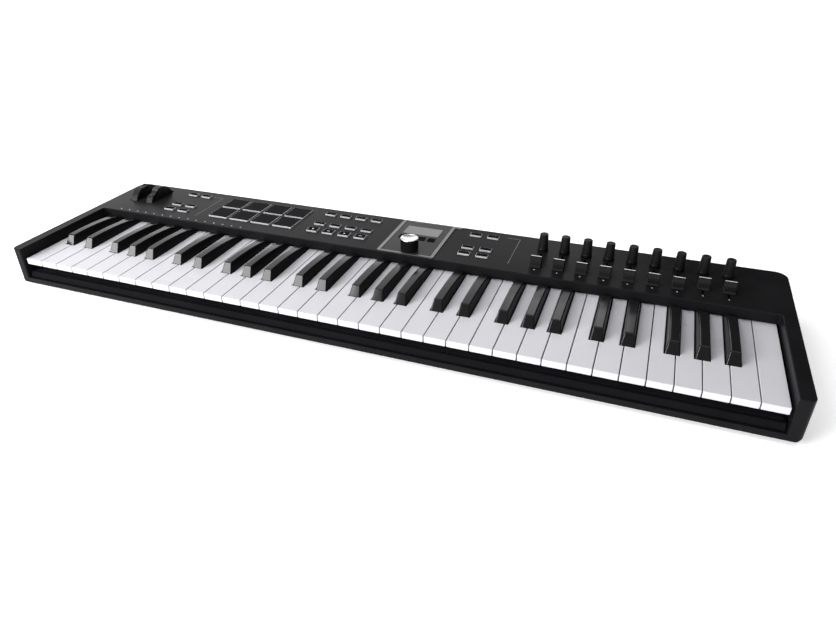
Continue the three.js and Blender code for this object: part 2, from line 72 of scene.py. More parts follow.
def make_camera():
    data = bpy.data.cameras.new("camera")
    data.sensor_width = 36
    data.lens = 28.49
    data.shift_x = 0.0103
    data.shift_y = -0.0029
    data.clip_start = 0.01
    data.clip_end = 60
    camera = bpy.data.objects.new("camera", data)
    bpy.context.scene.collection.objects.link(camera)
    turn = (Matrix.Rotation(math.radians(CAMERA_YAW), 4, "Z")
            @ Matrix.Rotation(math.radians(90 - CAMERA_PITCH), 4, "X")
            @ Matrix.Rotation(math.radians(CAMERA_ROLL), 4, "Z"))
    camera.matrix_world = Matrix.Translation(CAMERA_PLACE) @ turn
    bpy.context.scene.camera = camera


# ---- Materials --------------------------------------------------------------------------------------------


class Shade:
    """One node material, with its Principled shader and shorthand for the nodes that feed it."""

    def __init__(self, name):
        self.material = bpy.data.materials.new(name)
        self.material.use_nodes = True
        self.tree = self.material.node_tree
        self.shader = self.tree.nodes["Principled BSDF"]
        self.place = self.node("ShaderNodeTexCoord").outputs["Object"]

    def node(self, kind, **settings):
        made = self.tree.nodes.new(kind)
        for key, value in settings.items():
            setattr(made, key, value)
        return made

    def link(self, a, b):
        self.tree.links.new(a, b)

    def feed(self, socket, value):
        """Links an output, or sets a colour or a number."""
        if isinstance(value, bpy.types.NodeSocket):
            self.link(value, socket)
        elif isinstance(value, tuple):
            socket.default_value = (*value, 1)
        else:
            socket.default_value = value

    def noise(self, scale, detail=3.0, stretch=(1, 1, 1)):
        mapping = self.node("ShaderNodeMapping")
        mapping.inputs["Scale"].default_value = stretch
        self.link(self.place, mapping.inputs["Vector"])
        made = self.node("ShaderNodeTexNoise")
        made.inputs["Scale"].default_value = scale
        made.inputs["Detail"].default_value = detail
        self.link(mapping.outputs["Vector"], made.inputs["Vector"])
        return made.outputs["Fac"]

    def spread(self, value, low, high, start=0.3, end=0.7):
        made = self.node("ShaderNodeMapRange")
        made.inputs["From Min"].default_value = start
        made.inputs["From Max"].default_value = end
        made.inputs["To Min"].default_value = low
        made.inputs["To Max"].default_value = high
        self.link(value, made.inputs["Value"])
        return made.outputs["Result"]

    def mix(self, amount, first, second):
        made = self.node("ShaderNodeMix", data_type="RGBA")
        for key, value in (("Factor", amount), ("A", first), ("B", second)):
            self.feed(made.inputs[key], value)
        return made.outputs["Result"]

    def bump(self, height, depth_mm, previous=None):
        made = self.node("ShaderNodeBump")
        made.inputs["Strength"].default_value = 1
        made.inputs["Distance"].default_value = depth_mm * MM
        self.link(height, made.inputs["Height"])
        if previous is not None:
            self.link(previous, made.inputs["Normal"])
        return made.outputs["Normal"]

    def set(self, **values):
        for key, value in values.items():
            self.feed(self.shader.inputs[key.replace("_", " ")], value)


WEAR_FROM, WEAR_FULL = 0.56, 0.68  # how sharp an edge is where wear begins and where it is full


def moulded(name, dark, light, roughness, grain_mm=0.3, depth_mm=0.012, wear=None, specular=0.5,
            ripple_mm=0.0, gloss_swing=0.05):
    """Moulded plastic or rubber: mottled colour, a fine moulded grain, gloss that varies, worn edges."""
    shade = Shade(name)
    mottle = shade.noise(28, 4)
    colour = shade.mix(shade.spread(mottle, 0, 1), dark, light)
    if wear is not None:
        edge = shade.node("ShaderNodeNewGeometry").outputs["Pointiness"]
        worn = shade.spread(edge, 0, 1, WEAR_FROM, WEAR_FULL)
        patchy = shade.node("ShaderNodeMath", operation="MULTIPLY")
        shade.link(worn, patchy.inputs[0])
        shade.link(shade.spread(shade.noise(90, 3), 0.2, 1, 0.35, 0.65), patchy.inputs[1])
        colour = shade.mix(patchy.outputs[0], colour, wear)
    gloss = shade.spread(shade.noise(14, 3), roughness - gloss_swing, roughness + gloss_swing)
    grain = shade.bump(shade.noise(1 / (grain_mm * MM), 2), depth_mm)
    if ripple_mm:
        grain = shade.bump(shade.noise(60, 2), ripple_mm, grain)
    shade.set(Base_Color=colour, Roughness=gloss, Normal=grain)
    shade.set(Specular_IOR_Level=specular)
    return shade.material


def metal(name, dark, light, roughness, stretch):
    """Bare or plated metal with fine machining lines along the direction that is stretched least."""
    shade = Shade(name)
    lines = shade.noise(900, 2, stretch)
    colour = shade.mix(shade.spread(shade.noise(120, 3), 0, 1), dark, light)
    shade.set(Base_Color=colour, Roughness=shade.spread(lines, roughness - 0.06, roughness + 0.08),
              Normal=shade.bump(lines, 0.004), Metallic=1.0)
    return shade.material


def turned_metal():
    """Metal turned on a lathe: rings round the encoder's upright axis."""
    low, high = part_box("encoder_knob")
    colour, roughness = (0.80, 0.80, 0.81), 0.2
    shade = Shade("turned_aluminium")
    away = shade.node("ShaderNodeVectorMath", operation="SUBTRACT")
    shade.link(shade.place, away.inputs[0])
    away.inputs[1].default_value = (low + high) / 2
    flat = shade.node("ShaderNodeVectorMath", operation="MULTIPLY")
    shade.link(away.outputs["Vector"], flat.inputs[0])
    flat.inputs[1].default_value = (1, 1, 0)
    radius = shade.node("ShaderNodeVectorMath", operation="LENGTH")
    shade.link(flat.outputs["Vector"], radius.inputs[0])
    rings = shade.node("ShaderNodeTexNoise", noise_dimensions="1D")
    rings.inputs["Scale"].default_value = 2600
    rings.inputs["Detail"].default_value = 2
    shade.link(radius.outputs["Value"], rings.inputs["W"])
    ring = rings.outputs["Fac"]
    shade.set(Base_Color=shade.mix(shade.spread(ring, 0, 1), colour, tuple(c * 0.82 for c in colour)),
              Roughness=shade.spread(ring, roughness - 0.05, roughness + 0.08),
              Normal=shade.bump(ring, 0.006), Metallic=1.0)
    shade.set(Anisotropic=0.5)
    return shade.material


def display_face():
    """The lit display under its cover: a soft grey that fades across it."""
    low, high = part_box("screen")
    shade = Shade("display_face")
    split = shade.node("ShaderNodeSeparateXYZ")
    shade.link(shade.place, split.inputs["Vector"])
    across = shade.spread(split.outputs["X"], 0, 1, low.x, high.x)
    colour = shade.mix(across, (0.15, 0.15, 0.154), (0.17, 0.17, 0.174))
    fine = shade.spread(shade.noise(2500, 1), 0, 0.06)
    colour = shade.mix(fine, colour, (0.2, 0.2, 0.2))
    shade.set(Base_Color=colour, Roughness=shade.spread(shade.noise(30, 2), 0.16, 0.26),
              Normal=shade.bump(shade.noise(40, 2), 0.004))
    shade.set(Specular_IOR_Level=0.1)
    return shade.material


def circuit_board():
    """A black circuit board with slightly lighter tracks."""
    shade = Shade("circuit_board")
    tracks = shade.node("ShaderNodeTexBrick")
    tracks.inputs["Scale"].default_value = 60
    tracks.inputs["Color1"].default_value = (0.006, 0.0065, 0.007, 1)
    tracks.inputs["Color2"].default_value = (0.009, 0.0095, 0.010, 1)
    tracks.inputs["Mortar"].default_value = (0.020, 0.021, 0.022, 1)
    tracks.inputs["Mortar Size"].default_value = 0.012
    shade.link(shade.place, tracks.inputs["Vector"])
    shade.set(Base_Color=tracks.outputs["Color"], Roughness=shade.spread(shade.noise(40), 0.28, 0.42),
              Normal=shade.bump(tracks.outputs["Fac"], 0.03))
    return shade.material


def silicone():
    """Translucent light-grey silicone of the buttons and pads."""
    shade = Shade("silicone_clear")
    cloud = shade.noise(260, 3)
    shade.set(Base_Color=shade.mix(shade.spread(cloud, 0, 1), (0.29, 0.29, 0.305), (0.35, 0.35, 0.365)),
              Roughness=shade.spread(shade.noise(90), 0.34, 0.5),
              Normal=shade.bump(shade.noise(1800, 2), 0.006))
    shade.set(Subsurface_Weight=0.25, Subsurface_Scale=0.001)
    shade.shader.inputs["Subsurface Radius"].default_value = (1, 1, 1)
    return shade.material


def black_key(name, specular):
    return moulded(name, (0.0065, 0.0065, 0.007), (0.009, 0.009, 0.0095), 0.15, grain_mm=0.4, depth_mm=0.001,
                   wear=(0.02, 0.02, 0.022), gloss_swing=0.03, specular=specular)


MATERIALS = {
    "case": lambda: moulded("case_moulding", (0.0062, 0.0062, 0.0068), (0.0082, 0.0082, 0.0090), 0.32,
                            grain_mm=0.34, depth_mm=0.008, wear=(0.03, 0.03, 0.032), ripple_mm=0.006,
                            specular=0.04),
    "base": lambda: moulded("base_moulding", (0.009, 0.009, 0.0095), (0.013, 0.013, 0.0135), 0.62,
                            grain_mm=0.5, depth_mm=0.03, specular=0.2),
    "chassis": lambda: moulded("chassis_moulding", (0.0034, 0.0034, 0.0044), (0.0046, 0.0046, 0.0058), 0.7,
                               grain_mm=0.6, depth_mm=0.01, specular=0.03),
    "ivory": lambda: moulded("white_key_plastic", (0.462, 0.462, 0.488), (0.474, 0.474, 0.50), 0.30,
                             grain_mm=0.4, depth_mm=0.002, wear=(0.56, 0.56, 0.58), gloss_swing=0.03,
                             specular=0.15),
    "ebony": lambda: black_key("black_key_plastic", 0.17),
    "ebony_flank": lambda: black_key("black_key_flank", 0.015),
    "foot": lambda: moulded("foot_rubber", (0.010, 0.010, 0.010), (0.018, 0.018, 0.018), 0.85,
                            grain_mm=0.8, depth_mm=0.05, specular=0.2),
    "cap": lambda: moulded("button_cap_print", (0.004, 0.004, 0.0045), (0.006, 0.006, 0.0065), 0.55,
                           grain_mm=0.25, depth_mm=0.006, specular=0.004),
    "pad": lambda: moulded("pad_rubber", (0.0085, 0.0085, 0.0092), (0.0115, 0.0115, 0.0125), 0.55,
                           grain_mm=0.3, depth_mm=0.012, gloss_swing=0.07, specular=0.005),
    "control": lambda: moulded("control_plastic", (0.0032, 0.0032, 0.0035), (0.005, 0.005, 0.0053), 0.34,
                               grain_mm=0.3, depth_mm=0.008, wear=(0.015, 0.015, 0.015), specular=0.07),
    "grip": lambda: moulded("control_rubber", (0.0035, 0.0035, 0.0037), (0.0055, 0.0055, 0.0058), 0.42,
                            grain_mm=0.22, depth_mm=0.012, wear=(0.015, 0.015, 0.015), specular=0.15),
    "plate": lambda: moulded("centre_plate_paint", (0.014, 0.014, 0.0148), (0.018, 0.018, 0.0188), 0.17,
                             grain_mm=0.4, depth_mm=0.001, gloss_swing=0.03, specular=0.1),
    "rim": lambda: metal("centre_plate_rim", (0.18, 0.18, 0.183), (0.21, 0.21, 0.213), 0.42, (1, 0.04, 1)),
    "steel": lambda: metal("bare_steel", (0.34, 0.34, 0.35), (0.48, 0.48, 0.49), 0.36, (1, 1, 0.1)),
    "print": lambda: moulded("printed_marks", (0.13, 0.13, 0.13), (0.19, 0.19, 0.19), 0.6,
                             grain_mm=0.2, depth_mm=0.004, specular=0.1),
    "white_line": lambda: moulded("cap_line_paint", (0.50, 0.50, 0.50), (0.60, 0.60, 0.60), 0.45,
                                  grain_mm=0.2, depth_mm=0.004),
    "felt": lambda: moulded("key_felt", (0.006, 0.006, 0.007), (0.010, 0.010, 0.012), 0.95,
                            grain_mm=0.15, depth_mm=0.08, specular=0.05),
    "screen_border": lambda: moulded("screen_border", (0.05, 0.05, 0.052), (0.06, 0.06, 0.062), 0.30,
                                     grain_mm=0.5, depth_mm=0.002, specular=0.08),
    "display": display_face,
    "board": circuit_board,
    "silicone": silicone,
    "encoder_metal": turned_metal,
}
_made = {}


def material(key):
    if key not in _made:
        _made[key] = MATERIALS[key]()
    return _made[key]


# ---- Meshes -----------------------------------------------------------------------------------------------

SHARP = math.radians(50)
PROUD = 0.02  # how far a part set in another stands out of it


def cad_copy(node):
    """The node's mesh as flat faces with no triangle seams, in millimetres, ready to be rounded."""
    bm = bmesh.new()
    bm.from_mesh(NODES[node].data)
    bmesh.ops.scale(bm, vec=Vector((1, 1, 1)) / MM, verts=bm.verts)
    bmesh.ops.remove_doubles(bm, verts=bm.verts, dist=0.02)
    bmesh.ops.dissolve_limit(bm, angle_limit=math.radians(1), verts=bm.verts, edges=bm.edges)
    return bm


def turn_of(edge):
    return abs(math.degrees(edge.calc_face_angle(0)))


def along(edge, axis):
    run = (edge.verts[1].co - edge.verts[0].co).normalized()
    return abs(run["xyz".index(axis)]) > 0.999


def level(edge, z, slack=0.06):
    return all(abs(v.co.z - z) < slack for v in edge.verts)


def middle(edge):
    return (edge.verts[0].co + edge.verts[1].co) / 2


def bevel(bm, pick, radius, segments=3, least_turn=40):
    """Rounds every edge that pick accepts and that turns by more than least_turn degrees."""
    edges = [e for e in bm.edges if e.is_manifold and turn_of(e) > least_turn and pick(e)]
    if edges:
        bmesh.ops.bevel(bm, geom=edges, offset=radius, offset_type="OFFSET", segments=segments,
                        profile=0.5, affect="EDGES", clamp_overlap=False)


def ring_of(bm, points):
    return [bm.verts.new(p) for p in points]


def bridge(bm, first, second):
    """The band of faces between two rings with the same number of points."""
    count = len(first)
    faces = []
    for i in range(count):
        j = (i + 1) % count
        faces.append(bm.faces.new((first[i], first[j], second[j], second[i])))
    return faces


def insets(outline):
    """For each point of a counter-clockwise outline, the step that moves it inwards by one."""
    steps = []
    count = len(outline)
    for i, point in enumerate(outline):
        before = (Vector(point) - Vector(outline[i - 1])).normalized()
        after = (Vector(outline[(i + 1) % count]) - Vector(point)).normalized()
        inward = Vector((-before.y, before.x)) + Vector((-after.y, after.x))
        inward.normalize()
        lean = max(0.3, inward.dot(Vector((-before.y, before.x))))
        steps.append(inward / lean)
    return steps


def prism(bm, outline, profile, place, material_index=0):
    """A closed body: the outline follows the profile's (inset, height) pairs.
    place turns (u, v, w) into a point."""
    steps = insets(outline)
    rings = [ring_of(bm, [place(p[0] + s.x * inset, p[1] + s.y * inset, height)
                          for p, s in zip(outline, steps)]) for inset, height in profile]
    faces = []
    for low, high in zip(rings, rings[1:]):
        faces += bridge(bm, low, high)
    faces.append(bm.faces.new(list(reversed(rings[0]))))
    faces.append(bm.faces.new(rings[-1]))
    for face in faces:
        face.material_index = material_index


def quarter(steps, start=0):
    """The (cosine, sine) of each step of a quarter turn that begins at start degrees."""
    turns = [math.radians(start + 90 * i / steps) for i in range(steps + 1)]
    return [(math.cos(turn), math.sin(turn)) for turn in turns]


def corner(cx, cy, radius, start, steps):
    return [(cx + radius * c, cy + radius * s) for c, s in quarter(steps, start)]


def rounded(x0, x1, y0, y1, radius, steps=4):
    """A rectangle with round corners, counter-clockwise."""
    return (corner(x1 - radius, y0 + radius, radius, -90, steps)
            + corner(x1 - radius, y1 - radius, radius, 0, steps)
            + corner(x0 + radius, y1 - radius, radius, 90, steps)
            + corner(x0 + radius, y0 + radius, radius, 180, steps))


def disc(radius, x=0.0, y=0.0, segments=24):
    return [(x + radius * math.cos(math.tau * k / segments), y + radius * math.sin(math.tau * k / segments))
            for k in range(segments)]


def edge_profile(low, high, radius, steps=4):
    """(inset, height) pairs: an upright wall with a rounded top edge."""
    return [(0, low)] + [(radius * (1 - c), high - radius * (1 - s)) for c, s in quarter(steps)]


def both_edges(low, high, radius):
    """(inset, height) pairs: a wall with both its edges rounded."""
    start = [(radius * (1 - s), low + radius * (1 - c)) for c, s in quarter(4)]
    return start + edge_profile(low, high, radius)[1:]


def upright(u, v, w):
    return (u, v, w)


def sideways(u, v, w):
    """For a side view drawn as (y, z) that runs along x."""
    return (w, u, v)


def on_back(x, z):
    """For an outline drawn round (0, 0) as seen from behind, set round (x, z) on the case's back."""
    return lambda u, v, w: (x - u, w, z + v)


def lathe(bm, profile, x, y, segments=48, material_of=None):
    """Turns (radius, height) pairs round an upright axis at (x, y). A radius of 0 closes an end."""
    rings = []
    for radius, height in profile:
        points = disc(radius, x, y, segments) if radius else [(x, y)]
        rings.append(ring_of(bm, [(*point, height) for point in points]))
    for index, (low, high) in enumerate(zip(rings, rings[1:])):
        if len(low) == 1:
            made = [bm.faces.new((low[0], high[(i + 1) % segments], high[i])) for i in range(segments)]
        elif len(high) == 1:
            made = [bm.faces.new((low[i], low[(i + 1) % segments], high[0])) for i in range(segments)]
        else:
            made = bridge(bm, low, high)
        for face in made:
            face.material_index = material_of(index) if material_of else 0


def hoop(bm, section, place, segments=32):
    """A closed ring: section's (radius, height) pairs run round the section and come back to the first."""
    rings = [ring_of(bm, [place(u, v, height) for u, v in disc(radius, segments=segments)])
             for radius, height in section]
    for low, high in zip(rings, rings[1:] + rings[:1]):
        bridge(bm, low, high)


def finish_piece(bm, name, body, materials, replaces=(), crease_z=None):
    """Turns a millimetre bmesh into a named piece that rides on its body, creased at height crease_z."""
    bmesh.ops.recalc_face_normals(bm, faces=bm.faces)
    for face in bm.faces:
        face.smooth = True
    for edge in bm.edges:
        crease = crease_z is not None and level(edge, crease_z)
        edge.smooth = not (crease or (edge.is_manifold and edge.calc_face_angle(0) > SHARP))
    bmesh.ops.scale(bm, vec=Vector((MM, MM, MM)), verts=bm.verts)
    mesh = bpy.data.meshes.new(name)
    bm.to_mesh(mesh)
    bm.free()
    for key in materials:
        mesh.materials.append(material(key))
    piece = bpy.data.objects.new(name, mesh)
    bpy.context.scene.collection.objects.link(piece)
    weighted = piece.modifiers.new("weighted_normals", "WEIGHTED_NORMAL")
    weighted.keep_sharp = True
    weighted.weight = 60
    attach(piece, body)
    if replaces:
        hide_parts(*replaces)


def top_rectangles(node):
    """The flat tops of a mat's bosses, read from the CAD: (x0, x1, y0, y1) of each, and their height."""
    bm = cad_copy(node)
    high = max(v.co.z for v in bm.verts)
    tops = []
    for face in bm.faces:
        if face.normal.z > 0.99 and abs(face.calc_center_median().z - high) < 0.05:
            xs = [v.co.x for v in face.verts]
            ys = [v.co.y for v in face.verts]
            tops.append((min(xs), max(xs), min(ys), max(ys)))
    bm.free()
    return sorted(tops, key=lambda r: (round(r[2]), r[0])), high


# ---- Case -------------------------------------------------------------------------------------------------

FRONT_CORNER_R, REAR_CORNER_R, BOTTOM_EDGE_R = 7.0, 14.0, 7.0
WALL = 2.5
PANEL_FRONT = 21.5  # the panel begins here, behind the key well
PANEL_UNDER = 46.5
FASCIA_UNDER = 36.8  # lower edge of the upright face between panel and keys
WELL_HALF = 426.0  # half the distance between the cheeks
WELL_FLOOR = 7.3
LIP_TOP, LIP_DEPTH = 10.7, 3.0
WINDOW_GAP = 0.4
WINDOW_MATS = ("left_buttons", "right_buttons", "transport_buttons", "pad_mat")
WHEEL_GAP = 0.7
PLATE_TAB = (8.7, 3.6)  # length and depth of the tab at the centre plate's rear right corner
KNOB_HOLE_R = 3.9
FADER_SLOT, FADER_SLOT_HALF = (39.6, 80.4), 1.4
WHEEL_CENTRE, WHEEL_RADIUS = (82.2, 37.5), 26.2  # centre as y, z
JACK, ROUND_SOCKET, USB = (-50, 22), (0, 24), (40, 15.7)  # middle of each socket as x, z
JACK_HOLE_R, ROUND_HOLE_R, USB_HOLE_HALF = 4.6, 8.0, (5.2, 2.3)


def flare(low, high, radius, steps=3, above=2.0):
    """A cutter's (inset, height) pairs: straight walls that open out at the top and leave a rounded edge."""
    edge = [(-radius * (1 - c), high - radius * (1 - s)) for c, s in quarter(steps)]
    return [(0, low)] + edge + [(-radius, high + above)]


def subtract(bm, cutters, name):
    """bm minus each cutter in turn, by Blender's exact boolean. All are closed and in millimetres."""
    def as_object(source, label):
        bmesh.ops.recalc_face_normals(source, faces=source.faces)
        mesh = bpy.data.meshes.new(label)
        source.to_mesh(mesh)
        source.free()
        made = bpy.data.objects.new(label, mesh)
        bpy.context.scene.collection.objects.link(made)
        return made

    body = as_object(bm, name)
    tools = [as_object(cutter, f"{name}_cutter") for cutter in cutters]
    for tool in tools:
        step = body.modifiers.new("cut", "BOOLEAN")
        step.operation = "DIFFERENCE"
        step.solver = "EXACT"
        step.use_self = True
        step.object = tool
    bpy.context.view_layer.update()
    graph = bpy.context.evaluated_depsgraph_get()
    result = bmesh.new()
    result.from_mesh(body.evaluated_get(graph).to_mesh())
    for made in [body] + tools:
        mesh = made.data
        bpy.data.objects.remove(made)
        bpy.data.meshes.remove(mesh)
    return result


def case_envelope(low, high):
    """The whole case as one closed block: round corners and top edge, sides that curve in at the bottom."""
    front, rear = FRONT_CORNER_R, REAR_CORNER_R
    outline = (corner(high.x - front, low.y + front, front, -90, 10)
               + corner(high.x - rear, high.y - rear, rear, 0, 16)
               + corner(low.x + rear, high.y - rear, rear, 90, 16)
               + corner(low.x + front, low.y + front, front, 180, 10))

    def place(u, v, w):
        """Keeps a point within the quarter round where each end wall meets the bottom."""
        drop = max(0.0, low.z + BOTTOM_EDGE_R - w)
        limit = high.x - (BOTTOM_EDGE_R - math.sqrt(max(0.0, BOTTOM_EDGE_R ** 2 - drop ** 2)))
        return (max(-limit, min(limit, u)), v, w)

    bottom = [(0.45, low.z), (0.13, low.z + 0.13), (0, low.z + 0.45)]
    curve = [(0, low.z + BOTTOM_EDGE_R * (1 - math.cos(math.radians(a)))) for a in (30, 42, 54, 66, 78, 90)]
    top = edge_profile(0, high.z, 1.0, 4)[1:]
    bm = bmesh.new()
    prism(bm, outline, bottom + curve + top, place)
    bmesh.ops.remove_doubles(bm, verts=bm.verts, dist=0.002)
    return bm


def well_cutters(low, high):
    """The key well in two depths, its mouth under the fascia, the cavity under the panel, the open bottom."""
    front, round_front, round_back = low.y, 1.4, 2.6
    behind_lip = front + LIP_DEPTH
    half_outline = [(WELL_HALF + round_front * (1 - s), front + round_front * (1 - c)) for c, s in quarter(4)]
    half_outline += [(WELL_HALF - round_back * (1 - c), PANEL_FRONT - round_back * (1 - s))
                     for c, s in quarter(6)]
    ahead = [(-WELL_HALF - round_front, front - 6), (WELL_HALF + round_front, front - 6)]
    upper = bmesh.new()
    prism(upper, ahead + half_outline + [(-x, y) for x, y in reversed(half_outline)],
          flare(LIP_TOP, high.z, 1.0, 4), upright)
    deep = bmesh.new()
    prism(deep, rounded(-WELL_HALF - 0.02, WELL_HALF + 0.02, behind_lip, PANEL_FRONT + 1, 0.3, 2),
          flare(WELL_FLOOR, LIP_TOP, 0.45, 3, 0.4), upright)
    mouth = bmesh.new()
    mouth_side = [(PANEL_FRONT - 4, WELL_FLOOR), (PANEL_FRONT + 6, WELL_FLOOR),
                  (PANEL_FRONT + 6, FASCIA_UNDER), (PANEL_FRONT + 0.6, FASCIA_UNDER),
                  (PANEL_FRONT + 0.2, FASCIA_UNDER + 0.17),
                  (PANEL_FRONT - 0.05, FASCIA_UNDER + 0.6), (PANEL_FRONT - 4, FASCIA_UNDER + 0.6)]
    prism(mouth, mouth_side, [(0, -WELL_HALF + 0.01), (0, WELL_HALF - 0.01)], sideways)
    cavity = bmesh.new()
    prism(cavity, rounded(low.x + WALL, high.x - WALL, PANEL_FRONT + WALL, high.y - WALL, 11, 6),
          [(0, WELL_FLOOR - 0.1), (0, PANEL_UNDER)], upright)
    bottom = bmesh.new()
    prism(bottom, rounded(low.x + 9, high.x - 9, low.y + 6, high.y - 4.2, 1.5, 2),
          [(0, low.z - 1), (0, WELL_FLOOR + 0.05)], upright)
    return [upper, deep, mouth, cavity, bottom]


def window_cutter(high):
    """Every opening in the panel's top, as separate closed cutters in one mesh."""
    bm = bmesh.new()
    depth = PANEL_UNDER - 1.2

    def window(x0, x1, y0, y1, corner_radius, edge):
        prism(bm, rounded(x0, x1, y0, y1, corner_radius), flare(depth, high.z, edge), upright)

    for mat in WINDOW_MATS:
        for x0, x1, y0, y1 in top_rectangles(mat)[0]:
            window(x0 - WINDOW_GAP, x1 + WINDOW_GAP, y0 - WINDOW_GAP, y1 + WINDOW_GAP, 1.3, 0.3)
    for node in WHEEL_LEANS:
        low, most = box_mm(node)
        window(low.x - WHEEL_GAP, most.x + WHEEL_GAP, WHEEL_CENTRE[0] - WHEEL_RADIUS + 1,
               WHEEL_CENTRE[0] + WHEEL_RADIUS - 1, 1.4, 0.8)
    for knob, fader in zip(KNOBS, FADERS):
        x, y = middle_of(*box_mm(knob))
        prism(bm, disc(KNOB_HOLE_R, x, y), flare(depth, high.z, 0.3), upright)
        x, y = middle_of(*box_mm(fader))
        window(x - FADER_SLOT_HALF, x + FADER_SLOT_HALF, *FADER_SLOT, 1.35, 0.25)
    low, most = box_mm("centre_panel")
    gap, tab_front, main_right = 0.3, most.y - PLATE_TAB[1], most.x - PLATE_TAB[0]
    outline = [(low.x - gap, low.y - gap), (main_right + gap, low.y - gap),
               (main_right + gap, tab_front - gap), (most.x + gap, tab_front - gap),
               (most.x + gap, most.y + gap), (low.x - gap, most.y + gap)]
    prism(bm, outline, flare(depth, high.z, 0.25, 2), upright)
    return bm


def socket_cutter(high):
    """The holes in the back wall for the sockets."""
    bm = bmesh.new()
    hole = flare(high.y - 4, high.y, 0.3, 2)
    prism(bm, disc(ROUND_HOLE_R, segments=32), hole, on_back(*ROUND_SOCKET))
    prism(bm, disc(JACK_HOLE_R, segments=32), hole, on_back(*JACK))
    half_x, half_z = USB_HOLE_HALF
    prism(bm, rounded(-half_x, half_x, -half_z, half_z, 1.2), hole, on_back(*USB))
    return bm


def case_shell():
    low, high = box_mm("upper_case")
    cutters = well_cutters(low, high) + [window_cutter(high), socket_cutter(high)]
    bm = subtract(case_envelope(low, high), cutters, "case_block")
    bmesh.ops.remove_doubles(bm, verts=bm.verts, dist=0.002)
    finish_piece(bm, "case_shell", "case", ["case"], ["upper_case"])


def base_plate():
    bm = cad_copy("lower_case")
    under = box_mm("lower_case")[0].z
    bevel(bm, lambda e: level(e, under), 0.5, 2)
    finish_piece(bm, "base_plate", "case", ["base"], ["lower_case"])


FEET = ("foot_front_left", "foot_front_right", "foot_rear_left", "foot_rear_right")


def feet():
    """Round rubber feet with two grooves in the sole."""
    bm = bmesh.new()
    for node in FEET:
        low, high = box_mm(node)
        x, y = middle_of(low, high)
        radius = (high.x - low.x) / 2
        lathe(bm, [(0, 0.9), (2.2, 0.9), (2.8, 0.5), (3.2, 0), (5.4, 0), (5.7, 0.35), (6.1, 0.35), (6.4, 0),
                   (radius - 1.3, 0), (radius - 0.6, 0.25), (radius - 0.15, 0.9), (radius, 1.6),
                   (radius, high.z - 0.3), (radius - 0.3, high.z), (0, high.z)], x, y, 40)
    finish_piece(bm, "rubber_feet", "case", ["foot"], FEET)


# ---- Keys -------------------------------------------------------------------------------------------------

OCTAVE_COMBS = (1, 2, 4, 5)
SINGLE_KEYS = ("c", "c_sharp", "d", "d_sharp", "e", "f", "f_sharp", "g", "g_sharp", "a", "a_sharp", "b")
FRONT_SLOPE = -60  # a black key's front slope lies before this y
RAIL_TOP = 18.0


def white_keys(node, name):
    bm = cad_copy(node)
    low, high = box_mm(node)
    bevel(bm, lambda e: along(e, "z") and middle(e).y < low.y + 0.1, 0.7, 4)
    bevel(bm, lambda e: level(e, high.z), 0.5, 3)
    bevel(bm, lambda e: level(e, low.z) and middle(e).y < low.y + 0.8, 0.35, 2)
    finish_piece(bm, name, node, ["ivory"], [node])


def black_keys(node, name):
    bm = cad_copy(node)
    low, high = box_mm(node)

    def shoulder(e):
        low_end, high_end = sorted(v.co.z for v in e.verts)
        if middle(e).y < FRONT_SLOPE:
            return high_end > high.z - 0.1 and low_end > low.z + 6
        return low_end > low.z + 7.5 and not along(e, "x")

    bevel(bm, shoulder, 1.3, 5, 25)
    for face in bm.faces:
        flank = abs(face.normal.x) > 0.93
        face.material_index = int(flank)
    finish_piece(bm, name, node, ["ebony", "ebony_flank"], [node], KEY_TOP)


def keys():
    for octave in OCTAVE_COMBS:
        white_keys(f"white_keys_octave_{octave}", f"white_key_comb_{octave}")
        black_keys(f"black_keys_octave_{octave}", f"black_key_comb_{octave}")
    for key in SINGLE_KEYS:
        build = black_keys if "sharp" in key else white_keys
        build(f"key_{key}", f"single_key_{key}")


def keybed():
    """The keybed frame, the felt that the keys land on, and the skirt that closes the rail's front."""
    bm = cad_copy("keybed_chassis")
    low, high = box_mm("keybed_chassis")
    bevel(bm, lambda e: along(e, "x") and middle(e).y < -110, 0.6, 2)
    finish_piece(bm, "keybed_frame", "case", ["chassis"], ["keybed_chassis"])
    bm = bmesh.new()
    prism(bm, rounded(low.x + 2, high.x - 2, low.y + 3, low.y + 15, 0.8),
          edge_profile(RAIL_TOP + 0.32, RAIL_TOP + 0.72, 0.2, 2), upright)
    finish_piece(bm, "front_rail_felt", "case", ["felt"])
    bm = bmesh.new()
    front, foot = low.y, LIP_TOP + 0.5
    skirt = [(front - 0.15, foot), (front - 0.15, RAIL_TOP), (front - 0.6, RAIL_TOP),
             (front - 1.1, RAIL_TOP - 0.25), (front - 2.7, foot + 0.4), (front - 2.75, foot)]
    prism(bm, skirt, [(0, low.x + 0.2), (0, high.x - 0.2)], sideways)
    finish_piece(bm, "front_rail_skirt", "case", ["chassis"])


# ---- Buttons and pads -------------------------------------------------------------------------------------

SHEET = 1.9
CAP_PROUD, MARK_PROUD = 0.12, 0.16
DOT, BAR = (1.2, 1.2), (2.0, 0.5)  # half width and half depth of the marks on the front transport buttons


